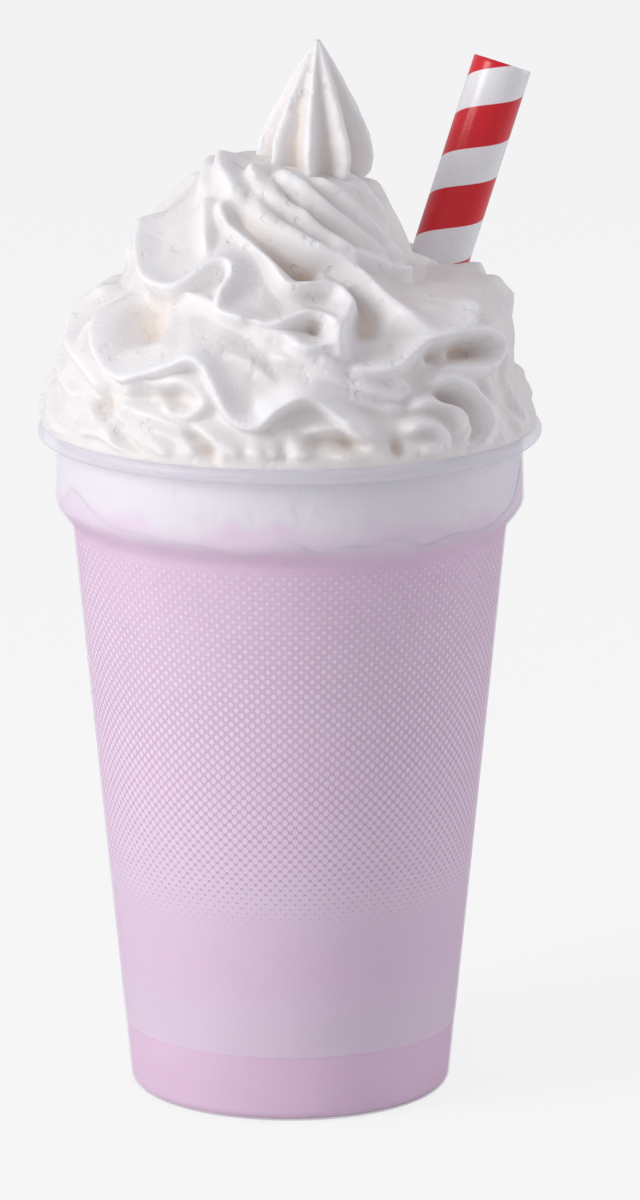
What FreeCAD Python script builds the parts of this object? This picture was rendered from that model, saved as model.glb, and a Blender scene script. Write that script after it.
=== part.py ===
import FreeCAD, Part
import math
import os

# Strawberry milkshake to go: a frosted plastic cup filled with pink shake, a spiral of piped
# whipped cream heaped over the rim, and a wide paper straw that leans through both.
# Millimetres. Origin: centre of the cup's base. +Z up, the viewer's side is -Y, +X to the right.

# Cup: a tapered body, a shoulder that steps out to a wider collar, and a lip that curls outwards.
CUP_HEIGHT = 133.2
RIM_RADIUS = 49.0            # outside of the curled lip
LIP_BEND = 1.5               # outside radius of the lip's two bends
WALL = 0.7
BASE_CORNER = 2.4            # outside radius between side and foot
TAPER = 5.57                 # degrees, body side from the vertical
SHOULDER_DEPTH = 20.9        # from the top of the lip down to where the body ends
SHOULDER_RISE = 6.0
SHOULDER_STEP = 3.35         # how far the shoulder steps out from the body to the collar
LIP_OVERHANG = 3.4           # how far the lip stands out from the collar
COLLAR_NECK = 0.25           # how much narrower the collar is under the lip
FOOT_WIDTH = 3.2             # flat ring that the cup stands on
FLOOR_LIFT = 2.0             # height of the recessed floor's underside

# Contents
SHAKE_DEPTH = 15.7           # from the top of the lip down to the shake
LIP_CLEARANCE = 0.15         # between the cream and the top of the lip

# Straw: a plain paper tube with its lower edge on the cup's floor. Its axis passes through two
# points, each placed by its angle round the cup and the gap between straw and wall.
STRAW_RADIUS = 5.8
STRAW_WALL = 0.6
STRAW_LENGTH = 207.0
STRAW_FOOT_ANGLE = 195.0     # degrees from +X
STRAW_FOOT_GAP = 1.8
STRAW_LIP_ANGLE = 34.7
STRAW_LIP_GAP = 14.4

# Whipped cream: a rope piped as a spiral from the collar up, then a small star-piped kiss on top.
# Each station is half a turn on, clockwise from above, from the left of the kiss downwards:
# how far the rope's belly stays inside the lip's outer edge, and its height above the lip.
COIL_STATIONS = ((31.5, 47.3), (26.5, 36.3), (16.5, 33.8), (4.0, 15.8), (3.3, 15.3),
                 (0.8, 4.3), (0.6, 3.8))
ROPE_RADIUS = 9.5
FLUTES = 10                  # ridges seen round each turn
FLUTE_DEPTH = 2.4
FLUTE_SLANT = 0.6            # sideways run of a ridge over half the rope's height, in ridges
KISS_HEIGHT = 26.0
KISS_RADIUS = 11.0
KISS_TOP = 74.6              # above the lip
KISS_FLUTES = 8
KISS_FLUTE_SHARE = 0.16      # depth of a groove, as a share of the kiss's own radius
KISS_SHIFT = 5.0             # the kiss sits this far to the right of the cup's axis
KISS_TIP_RADIUS = 0.5
PLUG_INSET = 1.4             # the heap starts this far inside the lip's outer edge
HEAP_STEP = 2.4              # spacing of the sections through the heap
SECTION_POINTS = 60
SECTION_SMOOTHING = 2        # rounds of averaging each point with its neighbours
THROAT_OVERLAP = 1.0

TAPER_RUN = math.tan(math.radians(TAPER))
COLLAR_RADIUS = RIM_RADIUS - LIP_OVERHANG
SHOULDER_HEIGHT = CUP_HEIGHT - SHOULDER_DEPTH
SHAKE_LEVEL = CUP_HEIGHT - SHAKE_DEPTH


def body_radius(z):
    """Outside radius of the tapered body at height z."""
    return COLLAR_RADIUS - SHOULDER_STEP - TAPER_RUN * (SHOULDER_HEIGHT - z)


def smooth_step(t):
    """Ease from 0 to 1, flat at both ends."""
    t = min(max(t, 0.0), 1.0)
    return t * t * (3.0 - 2.0 * t)


# ---------------------------------------------------------------- profiles in the X-Z plane

def point(r, z):
    return FreeCAD.Vector(r, 0.0, z)


def line(a, b):
    return Part.makeLine(point(*a), point(*b))


def arc(centre, radius, start, end):
    """Arc in the X-Z plane between two angles in degrees, through the angle halfway."""
    def at(angle):
        a = math.radians(angle)
        return point(centre[0] + radius * math.cos(a), centre[1] + radius * math.sin(a))
    return Part.Arc(at(start), at((start + end) / 2.0), at(end)).toShape()


def revolve(edges):
    face = Part.Face(Part.Wire(Part.__sortEdges__(edges)))
    return face.revolve(FreeCAD.Vector(0, 0, 0), FreeCAD.Vector(0, 0, 1), 360.0)


def wall_points(inset):
    """Side of the cup from the body's foot to the lip, moved inwards by inset."""
    along = inset / math.cos(math.radians(TAPER))
    shoulder_top = SHOULDER_HEIGHT + SHOULDER_RISE
    return ((body_radius(SHOULDER_HEIGHT) - along, SHOULDER_HEIGHT),
            (COLLAR_RADIUS - inset, shoulder_top),
            (COLLAR_RADIUS - COLLAR_NECK - inset, CUP_HEIGHT - LIP_BEND))


def shoulder_edge(lower, upper):
    """S-shaped step from the body out to the collar, tangent to both."""
    rise = (upper[1] - lower[1]) / 3.0
    curve = Part.BezierCurve()
    curve.setPoles([point(*lower), point(lower[0] + TAPER_RUN * rise, lower[1] + rise),
                    point(upper[0], upper[1] - rise), point(*upper)])
    return curve.toShape()


def cavity_floor_points():
    """Inner floor: its centre height and the foot of the inner side line."""
    z = FLOOR_LIFT + WALL
    side = body_radius(z) - WALL / math.cos(math.radians(TAPER))
    return (0.0, z), (side, z)


# ---------------------------------------------------------------- cup

def make_cup():
    out_low, out_high, out_neck = wall_points(0.0)
    in_low, in_high, in_neck = wall_points(WALL)
    centre, floor_edge = cavity_floor_points()
    # outside, from the foot up
    foot_centre = (body_radius(BASE_CORNER) - BASE_CORNER, BASE_CORNER)
    foot_out = (foot_centre[0], 0.0)
    foot_in = (foot_centre[0] - FOOT_WIDTH, 0.0)
    under_edge = (foot_in[0] - FLOOR_LIFT, FLOOR_LIFT)
    side_foot = (foot_centre[0] + BASE_CORNER, BASE_CORNER)
    edges = [line((0.0, FLOOR_LIFT), under_edge), line(under_edge, foot_in),
             line(foot_in, foot_out), arc(foot_centre, BASE_CORNER, -90.0, 0.0),
             line(side_foot, out_low), shoulder_edge(out_low, out_high),
             line(out_high, out_neck)]
    # lip: up from the neck, over the top and curled down on the outside
    turn_in = (in_neck[0] + LIP_BEND, CUP_HEIGHT - LIP_BEND)
    turn_out = (RIM_RADIUS - LIP_BEND, CUP_HEIGHT - LIP_BEND)
    bend = LIP_BEND - WALL
    top = CUP_HEIGHT
    edges += [arc(turn_in, bend, 180.0, 90.0),
              line((turn_in[0], top - WALL), (turn_out[0], top - WALL)),
              arc(turn_out, bend, 90.0, -90.0),
              line((turn_out[0], turn_out[1] - bend), (turn_out[0], turn_out[1] - LIP_BEND)),
              arc(turn_out, LIP_BEND, -90.0, 90.0),
              line((turn_out[0], top), (turn_in[0], top)),
              arc(turn_in, LIP_BEND, 90.0, 180.0)]
    # inside, back down to the floor
    edges += [line(in_neck, in_high), shoulder_edge(in_low, in_high),
              line(in_low, floor_edge), line(floor_edge, centre),
              line(centre, (0.0, FLOOR_LIFT))]
    return revolve(edges)


def make_cavity(top):
    """Solid that fills the inside of the cup from its floor to height top."""
    in_low, in_high, in_neck = wall_points(WALL)
    centre, floor_edge = cavity_floor_points()
    full = revolve([line(centre, floor_edge), line(floor_edge, in_low),
                    shoulder_edge(in_low, in_high), line(in_high, in_neck),
                    line(in_neck, (0.0, in_neck[1])), line((0.0, in_neck[1]), centre)])
    below = Part.makeCylinder(RIM_RADIUS, top)
    return full.common(below)


# ---------------------------------------------------------------- straw

def beside_wall(wall_radius, gap, angle, z):
    """Centre of the straw where it stays that gap inside the wall, at an angle in degrees."""
    a = math.radians(angle)
    r = wall_radius - gap - STRAW_RADIUS
    return FreeCAD.Vector(r * math.cos(a), r * math.sin(a), z)


def straw_axis():
    """Unit vector up the straw, and the centre of its lower end on the cup's floor."""
    _, floor_edge = cavity_floor_points()
    _, _, in_neck = wall_points(WALL)
    low = beside_wall(floor_edge[0], STRAW_FOOT_GAP, STRAW_FOOT_ANGLE, floor_edge[1])
    high = beside_wall(in_neck[0], STRAW_LIP_GAP, STRAW_LIP_ANGLE, CUP_HEIGHT)
    direction = high - low
    direction.normalize()
    # the lower edge of the square-cut end touches the floor
    end_drop = STRAW_RADIUS * math.hypot(direction.x, direction.y)
    return direction, low + direction * (end_drop / direction.z)


def straw_rod(radius, extra=0.0):
    direction, foot = straw_axis()
    start = foot - direction * extra
    return Part.makeCylinder(radius, STRAW_LENGTH + 2.0 * extra, start, direction)


def make_straw():
    bore = straw_rod(STRAW_RADIUS - STRAW_WALL, extra=1.0)
    return straw_rod(STRAW_RADIUS).cut(bore)


# ---------------------------------------------------------------- whipped cream

def coil_at(turn):
    """Outer radius and height of the rope's belly after that many turns."""
    half_turns = min(max(turn * 2.0, 0.0), len(COIL_STATIONS) - 1.001)
    k = int(half_turns)
    t = smooth_step(half_turns - k)
    (inset0, rise0), (inset1, rise1) = COIL_STATIONS[k], COIL_STATIONS[k + 1]
    return (RIM_RADIUS - inset0 - (inset1 - inset0) * t,
            CUP_HEIGHT + rise0 + (rise1 - rise0) * t)


def coil_radius(angle, z):
    """Outer edge of the coiled rope at this angle and height, ridges included."""
    start = ((angle - math.pi) / (2.0 * math.pi)) % 1.0
    best = 0.0
    for k in range(-1, len(COIL_STATIONS) // 2 + 1):
        belly, belly_z = coil_at(start + k)
        dz = (z - belly_z) / ROPE_RADIUS
        if dz < -1.0 and k < 0:
            continue
        reach = belly - ROPE_RADIUS + ROPE_RADIUS * math.sqrt(max(0.0, 1.0 - dz * dz))
        if abs(dz) < 1.0:
            wave = math.cos(FLUTES * angle - 2.0 * math.pi * FLUTE_SLANT * dz)
            groove = 0.5 - 0.5 * wave
            reach -= FLUTE_DEPTH * groove * (1.0 - dz * dz)
        elif dz > 1.0:
            reach = 0.0
        best = max(best, reach)
    return best


def kiss_radius(angle, z):
    """Star-piped teardrop: full at its base, drawn out to a tip."""
    rise = (z - (CUP_HEIGHT + KISS_TOP - KISS_HEIGHT)) / KISS_HEIGHT
    if rise < 0.0:
        return KISS_RADIUS * 0.9
    full = KISS_RADIUS * (1.0 - rise) * (1.0 + 0.55 * rise * (1.0 - rise))
    groove = 0.5 - 0.5 * math.cos(KISS_FLUTES * angle)
    return max(KISS_TIP_RADIUS, full * (1.0 - KISS_FLUTE_SHARE * groove))


def heap_ring(z):
    """Points round the heap at height z; the first one is repeated at the end."""
    low, high = COIL_STATIONS[3][1], COIL_STATIONS[0][1]
    shift = KISS_SHIFT * smooth_step((z - CUP_HEIGHT - low) / (high - low))
    limit = RIM_RADIUS - PLUG_INSET * max(0.0, 1.0 - (z - CUP_HEIGHT) / (2.0 * PLUG_INSET))
    angles = [2.0 * math.pi * i / SECTION_POINTS for i in range(SECTION_POINTS)]
    reach = [min(max(coil_radius(a, z), kiss_radius(a, z)), limit) for a in angles]
    for _ in range(SECTION_SMOOTHING):
        reach = [(reach[i - 1] + 2.0 * reach[i] + reach[(i + 1) % SECTION_POINTS]) / 4.0
                 for i in range(SECTION_POINTS)]
    ring = [FreeCAD.Vector(shift + r * math.cos(a), r * math.sin(a), z)
            for r, a in zip(reach, angles)]
    return ring + ring[:1]


def make_heap(base):
    """One smooth skin through all the rings, closed by a flat face at each end."""
    rise = CUP_HEIGHT + KISS_TOP - base
    count = round(rise / HEAP_STEP)
    skin = Part.BSplineSurface()
    skin.interpolate([heap_ring(base + rise * i / count) for i in range(count + 1)])
    side = skin.toShape()
    ends = [e for e in side.Edges if e.BoundBox.ZLength < 1e-6]
    faces = [side] + [Part.Face(Part.Wire(e)) for e in ends]
    shell = Part.makeShell(faces)
    shell.sewShape()
    heap = Part.makeSolid(shell)
    if heap.Volume < 0.0:
        heap.reverse()
    return heap


def make_cream():
    base = CUP_HEIGHT + LIP_CLEARANCE
    heap = make_heap(base)
    neck_z = CUP_HEIGHT - LIP_BEND
    _, _, in_neck = wall_points(WALL)
    # the throat reaches into both the heap above and the plug below it
    throat = Part.makeCylinder(in_neck[0], base - neck_z + 2.0 * THROAT_OVERLAP,
                               FreeCAD.Vector(0, 0, neck_z - THROAT_OVERLAP))
    plug = make_cavity(neck_z).cut(make_cavity(SHAKE_LEVEL))
    cream = plug.fuse(throat).fuse(heap).removeSplitter()
    return cream.cut(straw_rod(STRAW_RADIUS))


def make_shake():
    """Shake up to its level, inside the straw too, so only the straw's wall is cut away."""
    return make_cavity(SHAKE_LEVEL).cut(make_straw())


# ---------------------------------------------------------------- build

def write(name, shape):
    solids = shape.Solids
    body = solids[0] if len(solids) == 1 else Part.makeCompound(solids)
    body.exportStep("parts/" + name + ".step")
    box = body.BoundBox
    print(name, "solids", len(solids), "valid", body.isValid(),
          "volume cm3", round(body.Volume / 1000.0, 2),
          "z", round(box.ZMin, 2), round(box.ZMax, 2), "x", round(box.XMin, 2), round(box.XMax, 2),
          "y", round(box.YMin, 2), round(box.YMax, 2))


os.makedirs("parts", exist_ok=True)
write("cup", make_cup())
write("shake", make_shake())
write("whipped_cream", make_cream())
write("straw", make_straw())
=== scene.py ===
# Strawberry milkshake to go: frosted printed cup, pink shake, piped whipped cream and a paper straw.
# Shapes are worked out in millimetres and turned to metres when they become meshes.

import math

import bpy
import numpy as np
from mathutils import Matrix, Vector


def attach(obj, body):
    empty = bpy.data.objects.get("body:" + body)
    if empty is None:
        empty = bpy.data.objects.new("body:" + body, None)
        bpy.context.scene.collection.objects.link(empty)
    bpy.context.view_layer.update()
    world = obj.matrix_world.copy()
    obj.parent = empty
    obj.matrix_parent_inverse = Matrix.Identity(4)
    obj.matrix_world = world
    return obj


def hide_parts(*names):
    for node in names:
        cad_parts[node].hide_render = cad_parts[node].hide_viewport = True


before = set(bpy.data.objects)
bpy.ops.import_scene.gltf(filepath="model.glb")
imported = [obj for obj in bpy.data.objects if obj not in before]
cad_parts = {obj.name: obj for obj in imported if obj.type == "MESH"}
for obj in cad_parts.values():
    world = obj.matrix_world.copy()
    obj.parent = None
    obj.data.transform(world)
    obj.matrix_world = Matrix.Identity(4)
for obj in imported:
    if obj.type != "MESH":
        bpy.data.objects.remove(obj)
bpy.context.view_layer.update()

MM = 0.001
TAU = 2.0 * math.pi

# ------------------------------------------------------------------ sizes, in millimetres

CUP_HEIGHT = 133.2
RIM_RADIUS = 49.0
LIP_BEND = 1.5
WALL = 0.7
BASE_RADIUS = 31.3
BASE_CORNER = 2.4
TAPER = math.radians(5.57)
TAPER_RUN = math.tan(TAPER)
SHOULDER_LOW, SHOULDER_HIGH = 112.3, 118.3
COLLAR_RADIUS = 45.6
COLLAR_NECK = 0.25           # the collar narrows by this much up to the lip
FOOT_WIDTH = 3.2
FLOOR_LIFT = 2.0
CUP_AROUND = 192             # points round the cup, and round the shake

PRINT_LOW, PRINT_HIGH = 13.6, 111.6
PRINT_HOLES = 50.0           # below this height the dots have merged and leave round holes
PRINT_SOLID = 29.0           # below this height the print is plain white
DOT_ROW = 0.98               # height between rows of dots
DOTS_AROUND = 119            # dots round one row
DOT_SPACING = 2.28           # width of one dot's cell, as near the top of the print

STRAW_RADIUS = 5.8
STRAW_WALL = 0.6
STRAW_LENGTH = 207.0
STRAW_FOOT = (195.0, 1.8)    # angle round the cup in degrees, gap to the wall at the floor
STRAW_LIP = (34.7, 14.4)     # the same at the height of the lip
STRIPE_PITCH = 16.5
STRIPE_START = 0.435         # turns the stripes so that a red one ends at the mouth's left
STRIPE_RED = 8.8             # width of the red stripe along the straw

SHAKE_LEVEL = 117.5
SHAKE_INSET = 0.3            # the shake's skin lies this far inside the cup's outer skin
CREAM_INSET = 0.42           # the same for the cream in the collar
MEETING = 118.4              # mean height where the cream meets the shake behind the collar

# Lobes of cream that hang into the shake: angle from the front to the right and half width in
# degrees, then the drop in mm. A negative drop is a place where the shake rises.
MELT_LOBES = ((-12, 7, 2.6), (7, 5, 2.9), (20, 5, 1.6), (36, 6, 2.2), (58, 7, 1.5), (84, 10, -7.0),
              (-34, 5, 1.0), (-66, 9, -4.0), (-95, 10, 1.5), (130, 9, 2.2), (160, 7, 1.4), (-150, 9, 2.4),
              (-125, 6, -1.5))

HEART = np.array([0.0, 0.0, 128.0])   # the heap is worked out from here: a reach for each direction
FIELD_REACH = 49.0           # mm on the heap for one radian at HEART
BEAD = 1.8                   # width of the rounded lip along each ruffle
BEAD_SHARE = 0.42            # the lip's share of the ruffle's height
SHOWN_HALF = 112             # the front grid is fine up to this angle on both sides
BACK_START, BACK_END = 98, 264   # where the repeated folds of the hidden side begin and end

KISS_RIDGES = 9
KISS_BASE, KISS_TOP = 181.0, 207.6
KISS_SHIFT = 5.0             # to the right of the cup's axis
# Radius of the kiss over its ridges, at shares of its height
KISS_OUTLINE = ((0.0, 9.6), (0.06, 11.0), (0.16, 11.6), (0.28, 11.2), (0.42, 9.6), (0.56, 7.6), (0.70, 5.5),
                (0.82, 3.6), (0.92, 1.9), (1.0, 0.5))

# ------------------------------------------------------------------ helpers


def ease(t):
    """0 below 0, 1 above 1, and 3t^2 - 2t^3 between."""
    t = np.clip(t, 0.0, 1.0)
    return t * t * (3.0 - 2.0 * t)


def pole_faces(row, tip, turn, rise, reverse):
    """Triangles from the points of one row to a shared tip, and their UV corners."""
    ring = np.arange(len(row))
    corners = [row[ring], row[(ring + 1) % len(row)]]
    edges = [turn[:-1], turn[1:]]
    middle = (turn[:-1] + turn[1:]) / 2
    if reverse:
        corners, edges = corners[::-1], edges[::-1]
    level = np.full(len(row), rise)
    uv = np.stack([np.stack([u, level], -1) for u in (*edges, middle)], 1)
    return np.stack([*corners, np.full(len(row), tip)], -1), uv


def grid_mesh(name, points, turn=None, rise=None, first_pole=False, last_pole=False, flip=False,
              material_rows=None, values=None):
    """A grid closed round. points is (rows, columns, 3) in mm, and the last column joins column 0.
    A pole is one shared point at the mean of the first or last row. turn and rise are the UV map:
    turn for columns + 1 positions round, rise for each row. material_rows gives each row of faces
    its material, and values holds point attributes."""
    rows, cols = points.shape[:2]
    co = points.reshape(-1, 3) * MM
    u = np.linspace(0.0, 1.0, cols + 1) if turn is None else np.asarray(turn, float)
    v = np.linspace(0.0, 1.0, rows) if rise is None else np.asarray(rise, float)
    r = np.arange(rows - 1)[:, None]
    c = np.arange(cols)[None, :]
    nxt = (c + 1) % cols
    quads = np.stack([r * cols + c, (r + 1) * cols + c, (r + 1) * cols + nxt, r * cols + nxt], -1)
    uv = np.stack([np.stack(np.broadcast_arrays(u[c + k], v[r + j]), -1)
                   for j, k in ((0, 0), (1, 0), (1, 1), (0, 1))], 2)
    quads, uv = quads.reshape(-1, 4), uv.reshape(-1, 4, 2)
    row_of = np.repeat(np.arange(rows - 1), cols)
    if flip:
        quads, uv = quads[:, ::-1], uv[:, ::-1]
    poles = [(0, flip)] if first_pole else []
    if last_pole:
        poles.append((rows - 1, not flip))
    tris = [np.zeros((0, 3), int)]
    flat_uv = [uv.reshape(-1, 2)]
    for row, forward in poles:
        tri, tri_uv = pole_faces(row * cols + np.arange(cols), len(co), u, v[row], not forward)
        co = np.concatenate([co, points[row].mean(0)[None] * MM])
        tris.append(tri)
        flat_uv.append(tri_uv.reshape(-1, 2))
        row_of = np.concatenate([row_of, np.full(cols, min(row, rows - 2))])
    tris = np.concatenate(tris)
    loops = np.concatenate([quads.ravel(), tris.ravel()])
    counts = np.concatenate([np.full(len(quads), 4), np.full(len(tris), 3)])
    starts = np.concatenate([[0], np.cumsum(counts)[:-1]])
    mesh = bpy.data.meshes.new(name)
    mesh.vertices.add(len(co))
    mesh.vertices.foreach_set("co", co.ravel())
    mesh.loops.add(len(loops))
    mesh.loops.foreach_set("vertex_index", loops.astype(np.int32))
    mesh.polygons.add(len(counts))
    mesh.polygons.foreach_set("loop_start", starts.astype(np.int32))
    mesh.polygons.foreach_set("loop_total", counts.astype(np.int32))
    mesh.update(calc_edges=True)
    mesh.polygons.foreach_set("use_smooth", np.ones(len(counts), bool))
    layer = mesh.uv_layers.new(name="wrap")
    layer.data.foreach_set("uv", np.concatenate(flat_uv).ravel().astype(np.float32))
    if material_rows is not None:
        mesh.polygons.foreach_set("material_index", np.asarray(material_rows)[row_of].astype(np.int32))
    for key, data in (values or {}).items():
        field = mesh.attributes.new(key, "FLOAT", "POINT")
        tips = [data[row].mean() for row, _ in poles]
        field.data.foreach_set("value", np.concatenate([data.reshape(-1), tips]).astype(np.float32))
    mesh.validate()
    piece = bpy.data.objects.new(name, mesh)
    bpy.context.scene.collection.objects.link(piece)
    return piece


def bend(centre, radius, start, end, count):
    """Points on an arc: centre + radius * (cos, sin) between two angles in degrees."""
    a = np.radians(np.linspace(start, end, count))
    return [(centre[0] + radius * math.cos(t), centre[1] + radius * math.sin(t)) for t in a]


def shoulder(low, high, count):
    """S-shaped step: a cubic Bezier tangent to the tapered body below and the upright collar above."""
    rise = (high[1] - low[1]) / 3.0
    p0, p3 = np.array(low), np.array(high)
    p1, p2 = p0 + [TAPER_RUN * rise, rise], p3 - [0.0, rise]
    t = np.linspace(0.0, 1.0, count)[:, None]
    return [tuple(p) for p in (1 - t) ** 3 * p0 + 3 * (1 - t) ** 2 * t * p1
            + 3 * (1 - t) * t ** 2 * p2 + t ** 3 * p3]


def straight(a, b, count):
    """Points on the line from a to b, both ends included."""
    t = np.linspace(0.0, 1.0, count)[:, None]
    return [tuple(p) for p in np.array(a) * (1 - t) + np.array(b) * t]


def revolve(profile, count):
    """(radius, height) pairs carried round the Z axis: (r cos a, r sin a, z)."""
    p = np.array(profile)
    a = np.linspace(0.0, TAU, count, endpoint=False) - math.pi / 2
    return np.stack([p[:, :1] * np.cos(a), p[:, :1] * np.sin(a), np.repeat(p[:, 1:2], count, 1)], -1)


def from_front(angle):
    """An angle in degrees brought to -180..180, where 0 is the front."""
    return (angle + 180.0) % 360.0 - 180.0


def wall_radius(z, inset):
    """Outer radius of the cup at height z, less inset: taper, then S-step, then collar."""
    z = np.asarray(z, float)
    body = BASE_RADIUS + TAPER_RUN * z - inset / math.cos(TAPER)
    low = BASE_RADIUS + TAPER_RUN * SHOULDER_LOW - inset
    share = (z - SHOULDER_LOW) / (SHOULDER_HIGH - SHOULDER_LOW)
    step = low + (COLLAR_RADIUS - inset - low) * ease(share)
    collar = COLLAR_RADIUS - inset - COLLAR_NECK * (z - SHOULDER_HIGH) / (CUP_HEIGHT - SHOULDER_HIGH)
    return np.where(z < SHOULDER_LOW, body, np.where(z < SHOULDER_HIGH, step, collar))


# ------------------------------------------------------------------ materials


class Nodes:
    """Short way to build one node material round its Principled shader."""

    def __init__(self, name):
        self.material = bpy.data.materials.new(name)
        self.material.use_nodes = True
        self.tree = self.material.node_tree
        self.shader = self.tree.nodes["Principled BSDF"]
        self.out = self.tree.nodes["Material Output"]

    def add(self, kind, **settings):
        node = self.tree.nodes.new(kind)
        for key, value in settings.items():
            setattr(node, key, value)
        return node

    def link(self, a, b):
        self.tree.links.new(a, b)

    def feed(self, socket, value):
        """A number or colour goes on the socket itself; anything else is linked."""
        if isinstance(value, (int, float)):
            socket.default_value = value
        elif isinstance(value, tuple):
            socket.default_value = value if len(value) == len(socket.default_value) else (*value, 1.0)
        else:
            self.link(value, socket)

    def maths(self, operation, a, b=0.0, c=0.0):
        node = self.add("ShaderNodeMath", operation=operation)
        for socket, value in zip(node.inputs, (a, b, c)):
            self.feed(socket, value)
        return node.outputs[0]

    def ramp(self, value, low, high, to_low=0.0, to_high=1.0, smooth=True):
        """value from low..high mapped to to_low..to_high, eased."""
        node = self.add("ShaderNodeMapRange", interpolation_type="SMOOTHSTEP" if smooth else "LINEAR")
        for socket, v in zip(node.inputs, (value, low, high, to_low, to_high)):
            self.feed(socket, v)
        return node.outputs[0]

    def mix(self, factor, a, b):
        node = self.add("ShaderNodeMix", data_type="RGBA")
        self.feed(node.inputs[0], factor)
        self.feed(node.inputs[6], a)
        self.feed(node.inputs[7], b)
        return node.outputs[2]

    def place(self):
        """Object coordinates, in metres."""
        return self.add("ShaderNodeTexCoord").outputs["Object"]

    def noise(self, vector, scale, detail=2.0, roughness=0.5):
        node = self.add("ShaderNodeTexNoise")
        self.link(vector, node.inputs["Vector"])
        node.inputs["Scale"].default_value = scale
        node.inputs["Detail"].default_value = detail
        node.inputs["Roughness"].default_value = roughness
        return node.outputs[0]

    def bump(self, height, strength, distance):
        node = self.add("ShaderNodeBump")
        node.inputs["Strength"].default_value = strength
        node.inputs["Distance"].default_value = distance
        self.link(height, node.inputs["Height"])
        self.link(node.outputs[0], self.shader.inputs["Normal"])

    def split(self, vector):
        """The x, y and z outputs of a vector."""
        node = self.add("ShaderNodeSeparateXYZ")
        self.link(vector, node.inputs[0])
        return node.outputs

    def set(self, **sockets):
        names = {"color": "Base Color", "rough": "Roughness", "alpha": "Alpha",
                 "soft": "Subsurface Weight", "soft_scale": "Subsurface Scale", "coat": "Coat Weight",
                 "coat_rough": "Coat Roughness", "gloss": "Specular IOR Level"}
        for key, value in sockets.items():
            self.feed(self.shader.inputs[names[key]], value)


def cream_material():
    """Whipped cream: off-white, with painted shade that makes it darker and warmer in the grooves, pink
    where it melts, with a fine airy grain.
    """
    m = Nodes("whipped_cream")
    place = m.place()
    # Painted shade: the cream turns darker and warmer where this attribute is high, in the grooves and
    # dents.
    crease_shade = m.add("ShaderNodeAttribute", attribute_name="crease_shade").outputs["Fac"]
    tint = m.mix(m.ramp(crease_shade, 0.0, 1.0), (0.90, 0.885, 0.88), (0.83, 0.795, 0.77))
    tint = m.mix(m.ramp(crease_shade, 1.1, 2.2), tint, (0.80, 0.70, 0.61))
    height = m.split(place)[2]
    blots = m.ramp(m.noise(place, 130.0, 1.0), 0.60, 0.72)
    low = m.ramp(height, 0.130, 0.117)
    tint = m.mix(m.maths("MULTIPLY", m.maths("ADD", blots, 0.2), low), tint, (0.86, 0.68, 0.79))
    uneven = m.maths("MULTIPLY", m.noise(place, 95.0, 3.0), 0.012)
    melt = m.ramp(m.maths("SUBTRACT", height, uneven), 0.1160, 0.1125)
    tint = m.mix(m.maths("MULTIPLY", melt, 0.85), tint, (0.88, 0.66, 0.80))
    patch = m.ramp(m.noise(place, 90.0, 3.0), 0.35, 0.7)
    tint = m.mix(m.maths("MULTIPLY", patch, 0.35), tint, (0.86, 0.835, 0.83))
    m.set(color=tint, rough=0.42, soft=0.22, soft_scale=0.003, gloss=0.35)
    m.shader.inputs["Subsurface Radius"].default_value = (1.0, 0.7, 0.6)
    grain = m.noise(place, 900.0, 3.0, 0.6)
    dents = m.ramp(m.noise(place, 260.0, 2.0), 0.25, 0.42)
    cells = m.add("ShaderNodeTexVoronoi")
    m.link(place, cells.inputs["Vector"])
    cells.inputs["Scale"].default_value = 330.0
    airy = m.ramp(m.noise(place, 60.0, 1.0), 0.52, 0.64)
    pores = m.maths("MULTIPLY", m.ramp(cells.outputs["Distance"], 0.16, 0.28, -1.4, 0.0), airy)
    relief = m.maths("ADD", m.maths("MULTIPLY", grain, 0.5), dents)
    m.bump(m.maths("ADD", relief, pores), 0.4, 0.0006)
    return m.material


def shake_material():
    """Strawberry shake: lilac pink, slightly mottled, with painted light that makes it more saturated in the
    lower half, and paler towards the cream that melts into it."""
    m = Nodes("strawberry_shake")
    place = m.place()
    height = m.split(place)[2]
    swirl = m.noise(place, 55.0, 3.0)
    melt = m.ramp(m.maths("ADD", height, m.maths("MULTIPLY", swirl, 0.008)), 0.1175, 0.1235)
    pink = m.mix(m.ramp(swirl, 0.3, 0.7), (0.78, 0.485, 0.68), (0.82, 0.525, 0.72))
    # Painted light: more saturated pink, strongest 3 to 5.5 cm up and gone by 1.8 and 9.5 cm, standing in
    # for light the frosted plastic scatters past the dense print.
    scatter_band = m.maths("MULTIPLY", m.ramp(height, 0.095, 0.055), m.ramp(height, 0.018, 0.03))
    pink = m.mix(scatter_band, pink, (0.84, 0.42, 0.70))
    m.set(color=m.mix(melt, pink, (0.88, 0.74, 0.83)), rough=0.45, soft=0.35, soft_scale=0.003)
    m.shader.inputs["Subsurface Radius"].default_value = (1.0, 0.5, 0.7)
    return m.material


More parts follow.
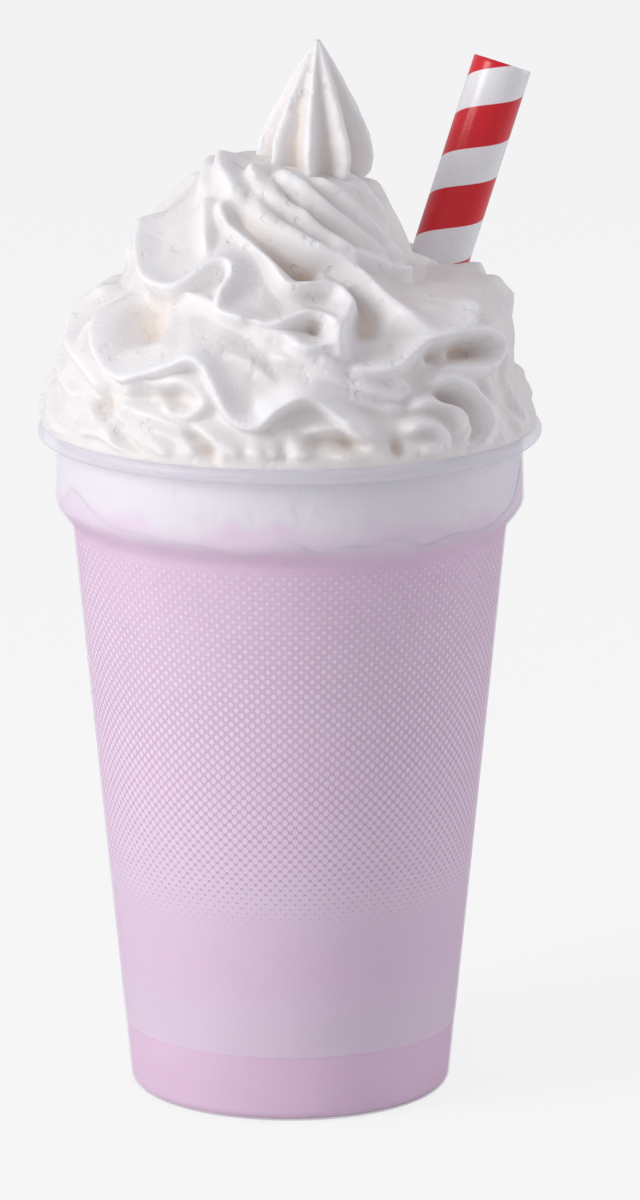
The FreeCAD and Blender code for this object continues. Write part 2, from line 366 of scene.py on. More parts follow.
def plastic_material(name, printed):
    """Frosted plastic, half see-through. Where printed, rows of white dots grow down the cup until
    they merge, leave round holes and close to a plain white band above the bare foot."""
    m = Nodes(name)
    haze = m.noise(m.place(), 700.0, 2.0)
    if printed:
        turn, height, _ = m.split(m.add("ShaderNodeUVMap", uv_map="wrap").outputs[0])
        across = m.maths("MULTIPLY", turn, float(DOTS_AROUND))
        rows = m.maths("DIVIDE", height, 2.0 * DOT_ROW)

        def off_centre(count, shift, width):
            """Distance in mm to the middle of the nearest cell, with its sign."""
            part = m.maths("FRACT", m.maths("ADD", count, shift))
            return m.maths("MULTIPLY", m.maths("SUBTRACT", part, 0.5), width)

        def nearest(shift):
            """Distance to the nearest dot of every second row."""
            dx = off_centre(across, shift, DOT_SPACING)
            dy = off_centre(rows, shift, 2.0 * DOT_ROW)
            square = m.maths("ADD", m.maths("MULTIPLY", dx, dx), m.maths("MULTIPLY", dy, dy))
            return m.maths("SQRT", square)

        away = m.maths("MINIMUM", nearest(0.0), nearest(0.5))
        size = m.maths("ADD", m.ramp(height, 112.0, PRINT_HOLES, 0.33, 0.735, smooth=False),
                       m.ramp(height, PRINT_HOLES, PRINT_SOLID, 0.0, 0.46, smooth=False))
        dot = m.ramp(m.maths("SUBTRACT", size, away), -0.08, 0.08)
        band = m.maths("MULTIPLY", m.ramp(height, PRINT_LOW - 0.15, PRINT_LOW + 0.15),
                       m.ramp(height, PRINT_HIGH + 0.2, PRINT_HIGH - 0.2))
        ink = m.maths("MULTIPLY", m.maths("MULTIPLY", dot, band), m.ramp(height, 30.0, 62.0, 0.6, 1.0))
        alpha = m.ramp(ink, 0.0, 1.0, 0.33, 0.68, smooth=False)
        relief = m.maths("ADD", m.maths("MULTIPLY", ink, 0.4), m.maths("MULTIPLY", haze, 0.12))
        m.bump(relief, 0.25, 0.0001)
    else:
        alpha = 0.46
        m.bump(haze, 0.1, 0.0001)
    m.set(color=(0.90, 0.87, 0.95), rough=m.ramp(haze, 0.2, 0.8, 0.42, 0.52), alpha=alpha, gloss=0.9)
    return m.material


def straw_material(name, striped):
    """Waxed paper. Where striped, a red stripe is wound round it, with the fine groove of the seam."""
    m = Nodes(name)
    place = m.place()
    fibre = m.noise(place, 1500.0, 3.0, 0.6)
    color = m.mix(m.ramp(fibre, 0.3, 0.7), (0.86, 0.845, 0.85), (0.90, 0.89, 0.89))
    relief = m.maths("MULTIPLY", fibre, 0.25)
    if striped:
        turn, along, _ = m.split(m.add("ShaderNodeUVMap", uv_map="wrap").outputs[0])
        turns = m.maths("SUBTRACT", m.maths("DIVIDE", along, STRIPE_PITCH), turn)
        wound = m.maths("FRACT", m.maths("ADD", turns, STRIPE_START))
        share, edge = STRIPE_RED / STRIPE_PITCH, 0.012
        red = m.maths("MULTIPLY", m.ramp(wound, 0.0, edge), m.ramp(wound, share + edge, share))
        ink = m.mix(m.ramp(fibre, 0.3, 0.7), (0.66, 0.004, 0.012), (0.72, 0.008, 0.018))
        color = m.mix(red, color, ink)
        away = m.maths("SUBTRACT", m.maths("FRACT", m.maths("ADD", wound, 0.25)), 0.5)
        relief = m.maths("ADD", relief, m.ramp(m.maths("ABSOLUTE", away), 0.0, 0.02))
    m.set(color=color, rough=0.30, coat=0.45, coat_rough=0.22, gloss=0.3)
    m.bump(relief, 0.3, 0.0001)
    return m.material


# ------------------------------------------------------------------ cup


def make_cup():
    """The cup's whole skin as (radius, height) points, revolved: under the floor, foot, tapered side,
    shoulder, collar, curled lip, and down the inside to the middle of the floor."""
    corner = BASE_RADIUS + TAPER_RUN * BASE_CORNER - BASE_CORNER
    ring_in = corner - FOOT_WIDTH
    low = BASE_RADIUS + TAPER_RUN * SHOULDER_LOW
    low_in = low - WALL / math.cos(TAPER)
    neck, neck_in = COLLAR_RADIUS - COLLAR_NECK, COLLAR_RADIUS - COLLAR_NECK - WALL
    floor = FLOOR_LIFT + WALL
    floor_r = BASE_RADIUS + TAPER_RUN * floor - WALL / math.cos(TAPER)
    curl = CUP_HEIGHT - LIP_BEND
    turn_in, turn_out = neck_in + LIP_BEND, RIM_RADIUS - LIP_BEND

    under = [(0.5, FLOOR_LIFT)] + straight((4.0, FLOOR_LIFT), (ring_in - 2.2, FLOOR_LIFT), 5)
    under += [(ring_in - 1.0, 1.2), (ring_in - 0.3, 0.25)]
    under += straight((ring_in + 0.3, 0.0), (corner - 0.3, 0.0), 3)
    side = bend((corner, BASE_CORNER), BASE_CORNER, -88, -2, 10)
    side += straight((BASE_RADIUS + TAPER_RUN * 3.2, 3.2), (low - TAPER_RUN * 0.3, SHOULDER_LOW - 0.3), 60)
    side += shoulder((low, SHOULDER_LOW), (COLLAR_RADIUS, SHOULDER_HIGH), 20)
    side += straight((COLLAR_RADIUS - 0.01, SHOULDER_HIGH + 0.6), (neck, curl - 1.6), 12)
    lip = [(neck, curl - 1.2), (neck + 0.15, curl - 0.75), (turn_out - 0.2, curl - 0.8)]
    lip += [(turn_out - 0.15, curl - LIP_BEND + 0.1)] + bend((turn_out, curl), LIP_BEND, -88, 88, 15)
    lip += [((turn_in + turn_out) / 2, CUP_HEIGHT)] + bend((turn_in, curl), LIP_BEND, 92, 178, 9)
    inside = straight((neck_in, curl - 0.6), (COLLAR_RADIUS - WALL, SHOULDER_HIGH + 0.4), 10)
    inside += shoulder((low_in, SHOULDER_LOW), (COLLAR_RADIUS - WALL, SHOULDER_HIGH), 20)[::-1]
    inside += straight((low_in - TAPER_RUN * 0.5, SHOULDER_LOW - 0.5), (floor_r + 0.05, floor + 0.6), 30)
    inside += [(floor_r - 0.25, floor + 0.12), (floor_r - 1.2, floor)]
    inside += straight((floor_r - 4.0, floor), (0.5, floor), 5)
    profile = under + side + lip + inside

    kinds = np.ones(len(profile), int)            # only the side is printed
    kinds[len(under) - 1:len(under) + len(side)] = 0
    cup = grid_mesh("cup_shell", revolve(profile, CUP_AROUND), rise=[p[1] for p in profile],
                    first_pole=True, last_pole=True, flip=True, material_rows=kinds)
    cup.data.materials.append(plastic_material("frosted_plastic_printed", True))
    cup.data.materials.append(plastic_material("frosted_plastic", False))
    return cup


def meeting_height(angle):
    """Height where shake and cream meet behind the collar: MEETING + three sine waves - the sum of
    drop * exp(-((angle - centre) / half)^2) over MELT_LOBES. angle is from the front to the right."""
    a, d = np.radians(angle), np.asarray(angle, float)
    lift = MEETING + 0.5 * np.sin(5 * a + 0.6) + 0.35 * np.sin(11 * a + 1.9) + 0.25 * np.sin(19 * a)
    for centre, half, drop in MELT_LOBES:
        lift = lift - drop * np.exp(-((d - centre) / half) ** 2)
    return lift


def make_shake():
    """Fills the cup, foot ring included, to just inside its outer skin. Its upper edge follows
    meeting_height, and the top closes under the cream."""
    a = np.linspace(0.0, 360.0, CUP_AROUND, endpoint=False)
    rad = np.radians(a - 90.0)
    top = meeting_height(from_front(a))
    low = BASE_CORNER + 0.3
    share = np.concatenate([np.linspace(0.0, 0.90, 50), np.linspace(0.91, 1.0, 22)])
    z = low + share[:, None] * (top - low)
    r = wall_radius(z, SHAKE_INSET)
    wall = np.stack([r * np.cos(rad), r * np.sin(rad), z], -1)
    lid = []
    for k, drop in ((0.985, 0.25), (0.96, 0.5), (0.85, 0.9), (0.5, 1.2), (0.02, 1.3)):
        height = (top - drop) * k + (SHAKE_LEVEL - drop) * (1 - k)
        lid.append(np.stack([k * r[-1] * np.cos(rad), k * r[-1] * np.sin(rad), height], -1))
    corner = BASE_RADIUS + TAPER_RUN * BASE_CORNER - BASE_CORNER
    ring_in = corner - FOOT_WIDTH
    bottom = FLOOR_LIFT + SHAKE_INSET
    foot = [(0.5, bottom), (ring_in * 0.6, bottom), (ring_in - 1.6, bottom)]
    foot += [(ring_in + 0.5, SHAKE_INSET), (corner - 0.5, SHAKE_INSET)]
    foot += bend((corner, BASE_CORNER), BASE_CORNER - SHAKE_INSET, -86, -4, 8)
    points = np.concatenate([revolve(foot, CUP_AROUND), wall, np.array(lid)])
    shake = grid_mesh("shake_fill", points, first_pole=True, last_pole=True, flip=True)
    shake.data.materials.append(shake_material())
    return shake


# ------------------------------------------------------------------ straw


def make_straw():
    """Tube with a wall: points foot + t * axis + r * (cos u e1 + sin u e2), up the outside and down
    the inside."""
    floor = FLOOR_LIFT + WALL
    ends = []
    for (turn, gap), wall, z in ((STRAW_FOOT, float(wall_radius(floor, WALL)), floor),
                                 (STRAW_LIP, COLLAR_RADIUS - COLLAR_NECK - WALL, CUP_HEIGHT)):
        r, t = wall - gap - STRAW_RADIUS, math.radians(turn)
        ends.append(np.array([r * math.cos(t), r * math.sin(t), z]))
    axis = (ends[1] - ends[0]) / np.linalg.norm(ends[1] - ends[0])
    foot = ends[0] + axis * STRAW_RADIUS * math.hypot(axis[0], axis[1]) / axis[2]
    e1 = np.cross(axis, [0.0, 0.0, 1.0])
    e1 /= np.linalg.norm(e1)
    e2 = np.cross(axis, e1)
    edge = 0.12                                   # how far the cut ends are rounded
    bore = STRAW_RADIUS - STRAW_WALL
    rim = [(bore, edge), (bore + edge, 0.0), (STRAW_RADIUS - edge, 0.0), (STRAW_RADIUS, edge)]
    out = [(STRAW_RADIUS, t) for t in np.linspace(1.0, STRAW_LENGTH - 1.0, 120)]
    top = [(r, STRAW_LENGTH - t) for r, t in rim[::-1]]
    back = [(bore, t) for t in np.linspace(STRAW_LENGTH - 1.0, 1.0, 60)]
    profile = np.array(rim + out + top + back + rim[:1])
    u = np.linspace(0.0, TAU, 96, endpoint=False)
    ring = np.cos(u)[:, None] * e1 + np.sin(u)[:, None] * e2
    points = foot + profile[:, 1, None, None] * axis + profile[:, 0, None, None] * ring[None]
    kinds = np.ones(len(profile), int)            # only the outside is striped
    kinds[2:len(rim) + len(out) + 2] = 0
    straw = grid_mesh("straw_tube", points, rise=profile[:, 1], material_rows=kinds)
    straw.data.materials.append(straw_material("striped_paper", True))
    straw.data.materials.append(straw_material("white_paper", False))
    return straw


# ------------------------------------------------------------------ whipped cream

# Reach of the smooth heap from HEART, without its ruffles: (rise in degrees, left side, right side).
HEAP = ((-12, 48.4, 48.4), (0, 48.6, 48.6), (8, 48.5, 48.3), (14, 47.4, 46.8), (20, 46.2, 46.0),
        (26, 47.8, 48.2), (33, 47.8, 50.8), (40, 46.8, 50.2), (45, 46.2, 47.4), (52, 48.4, 43.2),
        (58, 49.8, 42.4), (63, 51.4, 45.2), (69, 53.6, 49.4), (74, 56.4, 53.2), (80, 58.2, 55.2),
        (85, 57.6, 55.8), (90, 56.0, 56.0))

# Ruffle lines: height, width above, width below (mm), lean (the share of the height by which it hangs
# down), then (angle from the front to the right, rise) in degrees along the line. A negative height
# is a dent.
RUFFLES = (
    # upper lip, from the left side round its hook, and the curl at its end
    (5.0, 11.0, 3.6, 0.5, ((-92, 60), (-84, 61), (-74, 58), (-62, 53), (-53, 49), (-45, 48),
                           (-38, 48), (-32, 52), (-27, 56), (-22, 56), (-20, 53), (-22, 48),
                           (-21, 44), (-17, 42), (-9, 40), (-2, 39))),
    (4.6, 3.0, 2.6, 0.3, ((-14, 41), (-6, 39), (0, 40), (5, 42), (10, 41), (12, 38), (10, 34),
                          (4, 33), (1, 35), (4, 37))),
    (-3.0, 1.8, 1.8, 0.0, ((2, 38), (6, 39), (8, 37), (7, 35))),
    (3.4, 5.0, 5.0, 0.0, ((-58, 70), (-44, 64), (-36, 58), (-31, 55))),
    # long folds that sweep down to the right
    (4.8, 7.0, 4.0, 0.4, ((-52, 69), (-40, 68), (-30, 66), (-18, 63), (-9, 59), (-4, 54), (1, 51),
                          (12, 52), (18, 50), (19, 46), (16, 42), (13, 38), (12, 33), (16, 28))),
    (5.2, 8.0, 4.0, 0.5, ((-40, 71), (-26, 70), (-8, 66), (8, 62), (20, 60), (27, 56), (30, 52),
                          (30, 48), (31, 43), (34, 38), (39, 34), (45, 34), (51, 36), (57, 39),
                          (66, 40))),
    (3.4, 4.5, 4.0, 0.4, ((-4, 71), (7, 70), (12, 66), (21, 64), (30, 62), (40, 60), (55, 57),
                          (68, 55))),
    # folds of the top turn
    (2.6, 6.0, 6.0, 0.2, ((-104, 72), (-90, 75), (-79, 74), (-64, 71), (-52, 68))),
    (4.2, 4.2, 3.2, 0.4, ((-88, 79), (-60, 76), (-43, 73), (-27, 70), (-14, 67), (2, 64), (20, 58))),
    (4.0, 3.8, 3.0, 0.4, ((-40, 80), (-28, 76), (-16, 73), (-1, 70), (17, 65), (33, 58))),
    (3.8, 3.8, 3.0, 0.4, ((-12, 80), (-6, 77), (11, 73), (32, 69), (50, 63), (68, 58))),
    (3.4, 3.4, 2.8, 0.4, ((16, 79), (24, 75), (38, 71), (50, 66), (64, 60))),
    (2.4, 5.0, 5.0, 0.2, ((50, 81), (62, 75), (72, 69), (80, 64))),
    # left flank
    (3.2, 7.0, 6.0, 0.2, ((-80, 46), (-84, 40), (-82, 33), (-76, 29), (-66, 26), (-57, 23), (-50, 18))),
    (2.4, 6.0, 5.0, 0.2, ((-92, 24), (-82, 21), (-70, 19), (-60, 17))),
    # lower lip
    (5.0, 10.0, 3.4, 0.5, ((-70, 46), (-65, 40), (-59, 34), (-52, 29), (-46, 26), (-41, 25),
                           (-36, 27), (-30, 29), (-25, 31), (-21, 30), (-18, 26), (-15, 21),
                           (-11, 18), (-7, 18), (-2, 22), (3, 24), (7, 23), (11, 20), (15, 16),
                           (19, 12), (22, 8))),
    (2.6, 4.0, 4.0, 0.0, ((-44, 47), (-28, 45), (-16, 42), (-8, 38), (3, 34), (12, 28), (16, 24))),
    (2.2, 3.0, 3.0, 0.0, ((-20, 31), (-11, 30), (-6, 27), (-1, 24))),
    (2.8, 2.4, 1.5, 0.4, ((-6, 32), (4, 30), (13, 26), (22, 23), (31, 21))),
    (2.4, 2.0, 1.4, 0.4, ((6, 26), (14, 23), (22, 20), (29, 18))),
    (2.4, 3.0, 2.0, 0.3, ((-66, 38), (-70, 33), (-66, 28), (-58, 26))),
    # curls
    (3.4, 2.8, 2.4, 0.2, ((-46, 19), (-42, 22), (-38, 24), (-33, 24), (-28, 25), (-23, 24), (-21, 21),
                          (-24, 18), (-28, 18), (-31, 20), (-28, 22))),
    (2.6, 4.0, 3.0, 0.0, ((-48, 18), (-39, 17), (-27, 15), (-17, 12), (-9, 8))),
    (3.8, 4.0, 3.0, 0.3, ((14, 30), (20, 28), (27, 28), (32, 31), (38, 33), (46, 33), (57, 32),
                          (64, 29), (61, 26), (52, 25), (41, 27), (45, 30), (52, 29))),
    (2.4, 2.4, 2.4, 0.0, ((12, 28), (20, 27), (25, 26), (29, 23), (33, 21))),
    (2.0, 2.4, 2.4, 0.0, ((20, 20), (25, 20), (31, 18))),
    (4.2, 2.8, 2.2, 0.2, ((34, 24), (42, 24), (49, 21), (53, 17), (53, 12), (50, 8), (44, 6))),
    (4.0, 2.3, 2.0, 0.2, ((28, 18), (34, 20), (40, 19), (44, 16), (44, 12), (40, 9))),
    (4.0, 2.0, 1.8, 0.2, ((26, 12), (30, 15), (34, 15), (37, 13), (37, 10), (33, 9), (31, 11))),
    (-3.0, 1.6, 1.6, 0.0, ((37, 21), (43, 20), (48, 17), (48, 12), (45, 9))),
    (2.6, 4.0, 3.0, 0.0, ((60, 24), (58, 20), (56, 15), (57, 9), (57, 4))),
    (2.2, 4.0, 3.0, 0.0, ((72, 30), (70, 22), (69, 14), (70, 6))),
    (2.4, 4.0, 3.0, 0.0, ((-60, 18), (-52, 14), (-42, 9), (-34, 4))),
    (2.0, 4.0, 3.0, 0.0, ((-88, 18), (-76, 12), (-66, 6))),
    # rough lumps by the lip
    (1.8, 2.0, 2.0, 0.0, ((-26, 13), (-22, 10), (-20, 7))),
    (1.8, 2.2, 2.0, 0.0, ((-12, 11), (-8, 10), (-4, 7))),
    (1.8, 2.0, 2.0, 0.0, ((2, 14), (9, 15), (16, 13))),
    (1.6, 2.0, 2.0, 0.0, ((8, 8), (14, 8), (20, 6))),
    (2.4, 2.6, 1.8, 0.3, ((-58, 10), (-50, 11), (-43, 9), (-38, 6))),
    (2.4, 2.4, 1.6, 0.3, ((-36, 12), (-31, 10), (-27, 6))),
    (2.2, 2.4, 1.8, 0.3, ((-78, 12), (-70, 10), (-62, 6))),
    (2.6, 2.2, 1.8, 0.3, ((-19, 12), (-16, 9), (-17, 5))),
    (2.4, 2.4, 1.8, 0.3, ((-6, 11), (1, 10), (8, 11), (13, 9), (17, 5))),
    (2.2, 2.4, 1.8, 0.3, ((62, 14), (66, 9), (64, 4))),
    # pockets between the folds
    (-4.5, 4.5, 4.5, 0.0, ((-38, 69), (-28, 68), (-14, 65), (-2, 61), (8, 57), (14, 55))),
    (-2.4, 2.2, 2.2, 0.0, ((-34, 77), (-22, 74), (-6, 70), (10, 66), (24, 61))),
    (-2.4, 2.0, 2.0, 0.0, ((-12, 77), (2, 73), (20, 68), (38, 62))),
    (-2.2, 2.0, 2.0, 0.0, ((12, 77), (26, 72), (44, 66), (58, 61))),
    (-3.5, 4.0, 4.0, 0.0, ((22, 53), (25, 48), (25, 43), (22, 38), (22, 33))),
    (-3.0, 6.0, 6.0, 0.0, ((-52, 47), (-50, 41), (-45, 36), (-42, 31))),
    (-4.5, 2.8, 2.8, 0.0, ((35, 29), (42, 30), (50, 30), (61, 29))),
    (-3.0, 3.0, 3.0, 0.0, ((2, 11), (8, 12), (15, 12), (19, 10))),
    (-2.6, 2.0, 2.0, 0.0, ((-36, 22), (-31, 22), (-26, 21))),
    (-2.6, 2.2, 2.2, 0.0, ((-46, 12), (-38, 8), (-31, 4))),
    (-3.0, 2.2, 2.2, 0.0, ((-26, 15), (-20, 11), (-15, 6))),
    (-2.6, 2.0, 2.0, 0.0, ((-3, 14), (-1, 10), (-2, 6))),
    (-3.0, 2.4, 2.4, 0.0, ((24, 14), (26, 10), (25, 5))),
    (-3.0, 2.6, 2.6, 0.0, ((-56, 20), (-51, 16), (-48, 11))),
)


def outward(angle, rise):
    """Unit direction (sin a cos b, -cos a cos b, sin b) for angles in radians."""
    return np.stack([np.sin(angle) * np.cos(rise), -np.cos(angle) * np.cos(rise), np.sin(rise)], -1)


def crest_line(knots):
    """Smooth line through the knots (Catmull-Rom on unit directions), as points about 1.2 degrees
    apart."""
    k = np.radians(np.array(knots, float))
    p = outward(k[:, 0], k[:, 1])
    p = np.concatenate([[2 * p[0] - p[1]], p, [2 * p[-1] - p[-2]]])
    out = []
    for a, b, c, d in zip(p[:-3], p[1:-2], p[2:-1], p[3:]):
        steps = max(2, int(np.linalg.norm(c - b) / 0.021))
        t = np.linspace(0.0, 1.0, steps, endpoint=False)[:, None]
        out.append(0.5 * (2 * b + (c - a) * t + (2 * a - 5 * b + 4 * c - d) * t ** 2
                          + (3 * b - a - 3 * c + d) * t ** 3))
    line = np.concatenate(out + [p[-2:-1]])
    return line / np.linalg.norm(line, axis=1, keepdims=True)


def ruffle_field(directions, ruffles):
    """For unit directions: ruffle height, how far it droops, and dents, in mm. One ruffle's section
    is a wide flank (1 - d/w)^1.5, w differing by side, plus a round bead exp(-(d/b)^2), and it fades
    at both ends; several meet as the fourth root of the sum of fourth powers. Droop is the mean of
    height * lean, weighted by those powers. A dent is -(1 - (d/w)^2)^2."""
    n = len(directions)
    total, droop, dent = np.zeros(n), np.zeros(n), np.zeros(n)
    for high, above, below, lean, knots in ruffles:
        line = crest_line(knots)
        centre = line.mean(0)
        centre /= np.linalg.norm(centre)
        wide = np.arccos(np.clip((line @ centre).min(), -1, 1)) + max(above, below) / FIELD_REACH + 0.02
        near = np.where(directions @ centre > math.cos(min(wide, math.pi)))[0]
        if not len(near):
            continue
        d = directions[near]
        best = np.full(len(near), 1e9)
        side = np.zeros(len(near))
        along = np.zeros(len(near))
        step = np.linalg.norm(np.diff(line, axis=0), axis=1)
        run = np.concatenate([[0.0], np.cumsum(step)])
        for i in range(len(line) - 1):
            a, b = line[i], line[i + 1]
            ab = b - a
            t = np.clip(((d - a) @ ab) / (ab @ ab), 0.0, 1.0)
            off = d - (a + t[:, None] * ab)
            dist = np.linalg.norm(off, axis=1)
            closer = dist < best
            best[closer] = dist[closer]
            normal = np.cross(a, ab)          # points to the left of the line, seen from outside
            normal /= np.linalg.norm(normal)
            side[closer] = (off @ normal)[closer]
            along[closer] = (run[i] + t * step[i])[closer]
        x = np.clip(best / (np.where(side > 0, above, below) / FIELD_REACH), 0.0, 1.0)
        taper = np.clip(0.12 * run[-1] * FIELD_REACH, 4.0, 14.0)
        fade = ease(np.minimum(along, run[-1] - along) * FIELD_REACH / taper)
        if high < 0:
            dent[near] = np.minimum(dent[near], high * (1.0 - x * x) ** 2 * fade)
            continue
        bead = np.exp(-(best * FIELD_REACH / BEAD) ** 2)
        h = high * fade * ((1.0 - BEAD_SHARE) * (1.0 - x) ** 1.5 + BEAD_SHARE * bead)
        total[near] += h ** 4
        droop[near] += h ** 5 * lean
    return total ** 0.25, droop / np.where(total > 1e-9, total, 1.0), dent


def back_ruffles():
    """The hidden side goes on in the same manner: slanting folds every 18 degrees between two wavy
    lips that follow the spiral. The folds are lower where they meet the shown side."""
    made = []
    for k, a in enumerate(range(BACK_START, BACK_END, 18)):
        w = 2.0 * math.sin(2.1 * k)
        high = 2.0 + 1.9 * math.sin(math.pi * (a - 90) / 180.0)
        upper = ((a - 12, 74 + w), (a - 6, 66 + w), (a + 2, 59), (a + 7, 53 + w), (a + 12, 48))
        middle = ((a - 6, 42 + w), (a + 1, 36), (a + 7, 30 + w), (a + 9, 24))
        lower = ((a - 4, 20 + w), (a + 3, 14), (a + 8, 8), (a + 12, 3))
        made.append((high, 7.0, 5.0, 0.4, upper))
        made.append((high, 6.0, 4.5, 0.3, middle))
        made.append((high * 0.8, 5.0, 4.0, 0.2, lower))
    for base, wave in ((47, 3.0), (24, 2.5)):
        lip = tuple((a, base + wave * math.sin(a / 5.5)) for a in range(BACK_START + 10, BACK_END - 10, 6))
        made.append((4.0, 6.0, 3.6, 0.5, lip))
    return tuple(made)


def heap_reach(angle, rise):
    """Reach of the plain heap: the left and right tables blended by the sine of the angle."""
    table = np.array(HEAP, float)
    left, right = np.interp(rise, table[:, 0], table[:, 1]), np.interp(rise, table[:, 0], table[:, 2])
    w = 0.5 + 0.5 * np.sin(np.radians(angle))
    return left + (right - left) * w


def soften(field, rounds=2):
    """Averages each point with its neighbours, 1-2-1 both ways; the columns close round."""
    for _ in range(rounds):
        field = 0.25 * np.roll(field, 1, 1) + 0.5 * field + 0.25 * np.roll(field, -1, 1)
        wide = np.concatenate([field[:1], field, field[-1:]])
        field = 0.25 * wide[:-2] + 0.5 * wide[1:-1] + 0.25 * wide[2:]
    return field


def make_cream():
    """The heap: HEART + direction * (reach + ruffles + waves + dents) + droop, no wider than the lip.
    Then it goes in over the lip and down the inside of the collar to below the shake's edge."""
    front = np.linspace(-SHOWN_HALF, SHOWN_HALF, 330, endpoint=False)
    back = np.linspace(SHOWN_HALF, 360 - SHOWN_HALF, 130, endpoint=False)
    angle = np.concatenate([front, back])
    rise = np.concatenate([np.linspace(89.2, 60.0, 44, endpoint=False), np.linspace(60.0, 6.4, 128)])
    angles, rises = np.meshgrid(angle, rise)
    a, b = np.radians(angles), np.radians(rises)
    unit = outward(a, b)
    down = np.stack([np.sin(a) * np.sin(b), -np.cos(a) * np.sin(b), -np.cos(b)], -1)
    height, droop, dent = (soften(field.reshape(a.shape)) for field in
                           ruffle_field(unit.reshape(-1, 3), RUFFLES + back_ruffles()))
    wave = 0.25 * np.sin(a * 11 + b * 9) + 0.2 * np.sin(a * 23 - b * 17 + 1.0)
    wave += 0.15 * np.sin(a * 37 + b * 31)
    wave *= np.cos(b) ** 1.5
    calm = ease((rises - 6.2) / 3.5)              # the ruffles fade out just above the lip
    reach = heap_reach(angles, rises) + (height + wave + dent) * calm
    heap = HEART + unit * reach[..., None] + down * (droop * calm)[..., None]
    across = np.hypot(heap[..., 0], heap[..., 1])
    heap[..., :2] *= np.minimum(1.0, (RIM_RADIUS - 0.1) / across)[..., None]

    rad = np.radians(angle - 90.0)
    inner = COLLAR_RADIUS - COLLAR_NECK - WALL
    edge = meeting_height(from_front(angle))
    around = np.ones(len(angle))
    rings = [(around * r, around * z) for r, z in
             ((48.0, 133.0), (inner + 1.2, 132.9), (inner + 0.2, 132.6), (inner + 0.1, 132.2))]
    for s in np.linspace(0.0, 1.0, 14):
        z = 131.6 + (edge - 2.5 - 131.6) * s
        rings.append((wall_radius(z, CREAM_INSET), z))
    rings += [(around * 43.0 * k, around * 114.5) for k in (0.8, 0.4, 0.02)]
    tail = np.array([np.stack([r * np.cos(rad), r * np.sin(rad), z], -1) for r, z in rings])

    # Painted shade for the cream material: high between the ruffles and in the dents, low on the crests.
    crease_shade = 1.0 - np.clip(height / 3.5, 0, 1) - dent / 3.0
    crease_shade = np.concatenate([crease_shade, np.zeros(tail.shape[:2])])
    turn = np.concatenate([angle, [angle[0] + 360.0]]) / 360.0
    cream = grid_mesh("cream_heap", np.concatenate([heap, tail]), turn=turn, first_pole=True, last_pole=True,
                      values={"crease_shade": crease_shade})
    cream.data.materials.append(cream_material())
    return cream


def make_kiss(material):
    """Star-piped teardrop on top, round its own axis: radius(h) * (1 - depth * (1 - ridge)), where
    ridge = (1/2 + 1/2 cos(n (a + start) + twist h))^1.3, with a flare at the left where it was
    pressed on."""
    cols, rows = 216, 80
    a = np.linspace(0.0, TAU, cols, endpoint=False)[None, :]
    s = np.linspace(0.0, 1.0, rows)[:, None]
    z = KISS_BASE + (KISS_TOP - KISS_BASE) * s
    full = np.interp(s, *zip(*KISS_OUTLINE))
    ridge = (0.5 + 0.5 * np.cos(KISS_RIDGES * (a + math.radians(96.0)) + 0.7 * s)) ** 1.3
    depth = 0.33 * (1.0 - 0.8 * s * s)
    uneven = 1.0 + 0.008 * np.sin(5 * a + 23 * s) + 0.006 * np.sin(13 * a - 31 * s)
    r = full * (1.0 - depth * (1.0 - ridge)) * uneven
    r = r + 2.6 * ease((0.14 - s) / 0.14) * (0.5 - 0.5 * np.cos(a)) ** 2
    points = np.stack([KISS_SHIFT + 0.4 * s + r * np.cos(a), r * np.sin(a), np.repeat(z, cols, 1)], -1)
    # Painted shade for the cream material: high in the hollows between the ridges, fading towards the tip.
    crease_shade = (1.0 - ridge) * (1.0 - s ** 3) * 1.9
    kiss = grid_mesh("cream_kiss", points[::-1], first_pole=True, last_pole=True,
                     values={"crease_shade": crease_shade[::-1]})
    kiss.data.materials.append(material)
    return kiss


# ------------------------------------------------------------------ build

cup = make_cup()
shake = make_shake()
straw = make_straw()
cream = make_cream()
kiss = make_kiss(cream.data.materials[0])

for piece, node, slot in ((cup, "cup", "frosted_plastic"), (shake, "shake", "strawberry_shake"),
                          (straw, "straw", "striped_paper"), (cream, "whipped_cream", "whipped_cream"),
                          (kiss, "whipped_cream", "whipped_cream")):
    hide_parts(node)
    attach(piece, "root")

# ------------------------------------------------------------------ floor, light and camera


def make_floor():
    """A plain pale floor that shows white to the camera and keeps the shadow."""
    size = 6.0
    mesh = bpy.data.meshes.new("floor")
    corners = [(-size, -size, 0), (size, -size, 0), (size, size, 0), (-size, size, 0)]
    mesh.from_pydata(corners, [], [(0, 1, 2, 3)])
    floor = bpy.data.objects.new("floor", mesh)
    bpy.context.scene.collection.objects.link(floor)
    m = Nodes("pale_floor")
    m.set(color=(0.80, 0.80, 0.80), rough=0.9, gloss=0.1)
    glow = m.add("ShaderNodeEmission")
    path = m.add("ShaderNodeLightPath")
    blend = m.add("ShaderNodeMixShader")
    m.link(m.maths("MULTIPLY", path.outputs["Is Camera Ray"], 0.8), blend.inputs[0])
    m.link(m.shader.outputs[0], blend.inputs[1])
    m.link(glow.outputs[0], blend.inputs[2])
    m.link(blend.outputs[0], m.out.inputs["Surface"])
    mesh.materials.append(m.material)


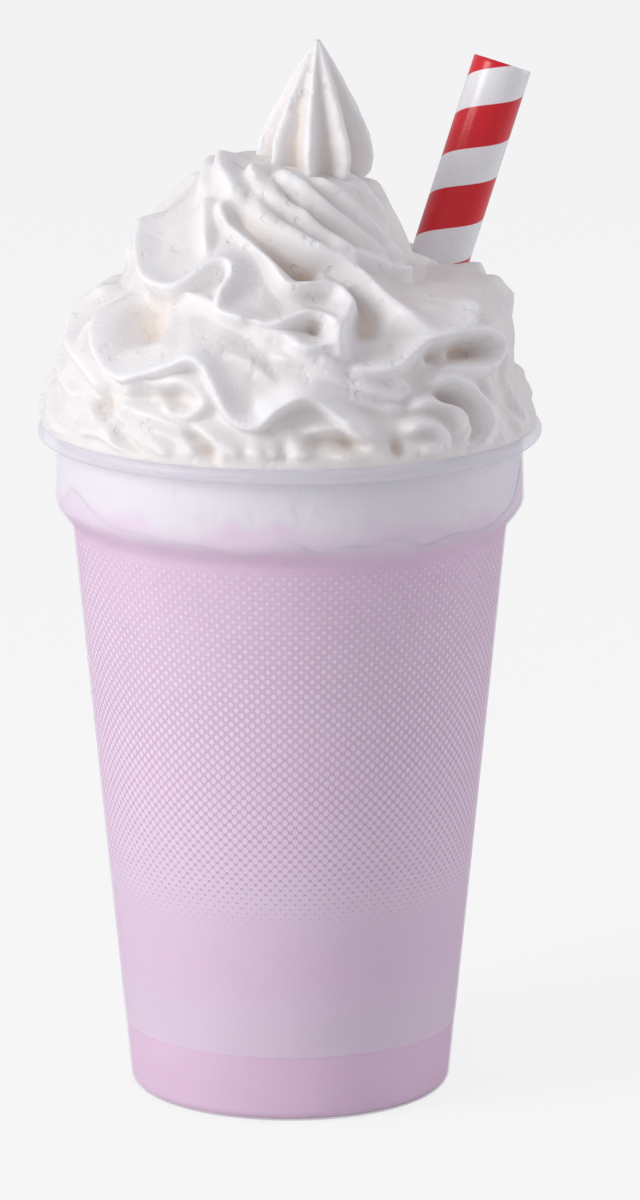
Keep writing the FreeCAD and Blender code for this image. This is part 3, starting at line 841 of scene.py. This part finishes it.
def soft_light(name, place, target, size, power):
    """Rectangular lamp at place that points at target; places and sizes in metres, power in watts."""
    lamp = bpy.data.lights.new(name, "AREA")
    lamp.shape = "RECTANGLE"
    lamp.size, lamp.size_y = size
    lamp.energy = power
    lamp_object = bpy.data.objects.new(name, lamp)
    bpy.context.scene.collection.objects.link(lamp_object)
    lamp_object.location = place
    lamp_object.rotation_euler = (Vector(target) - Vector(place)).to_track_quat("-Z", "Y").to_euler()


def make_world():
    """A faint cool sky lights the object; the camera, and rays that pass through, see plain white."""
    world = bpy.data.worlds.new("studio")
    bpy.context.scene.world = world
    world.use_nodes = True
    nodes, links = world.node_tree.nodes, world.node_tree.links
    sky = nodes["Background"]
    sky.inputs["Color"].default_value = (0.93, 0.92, 1.0, 1.0)
    sky.inputs["Strength"].default_value = 0.56
    white = nodes.new("ShaderNodeBackground")
    white.inputs["Color"].default_value = (1.0, 1.0, 1.0, 1.0)
    white.inputs["Strength"].default_value = 1.0
    path = nodes.new("ShaderNodeLightPath")
    seen = nodes.new("ShaderNodeMath")
    seen.operation = "MAXIMUM"
    choose = nodes.new("ShaderNodeMixShader")
    links.new(path.outputs["Is Camera Ray"], seen.inputs[0])
    links.new(path.outputs["Is Transmission Ray"], seen.inputs[1])
    links.new(seen.outputs[0], choose.inputs[0])
    links.new(sky.outputs[0], choose.inputs[1])
    links.new(white.outputs[0], choose.inputs[2])
    links.new(choose.outputs[0], nodes["World Output"].inputs["Surface"])


make_floor()
make_world()
soft_light("key", (-1.15, -0.65, 0.75), (0, 0, 0.11), (0.6, 0.8), 10.2)
soft_light("side", (1.0, 0.35, 0.35), (0, 0, 0.11), (0.5, 0.8), 2.2)
soft_light("bounce", (-1.0, -0.35, 0.06), (0, 0, 0.08), (0.3, 0.4), 1.6)

camera_data = bpy.data.cameras.new("camera")
camera_data.lens = 220.3
camera_data.sensor_width = 36.0
camera_data.clip_end = 50.0
camera = bpy.data.objects.new("camera", camera_data)
camera.location = (0.0, -1.4, 0.416)
camera.rotation_euler = (math.radians(90.0 - 12.83), 0.0, math.radians(-0.24))
bpy.context.scene.collection.objects.link(camera)
bpy.context.scene.camera = camera

bpy.context.scene.view_settings.view_transform = "Standard"
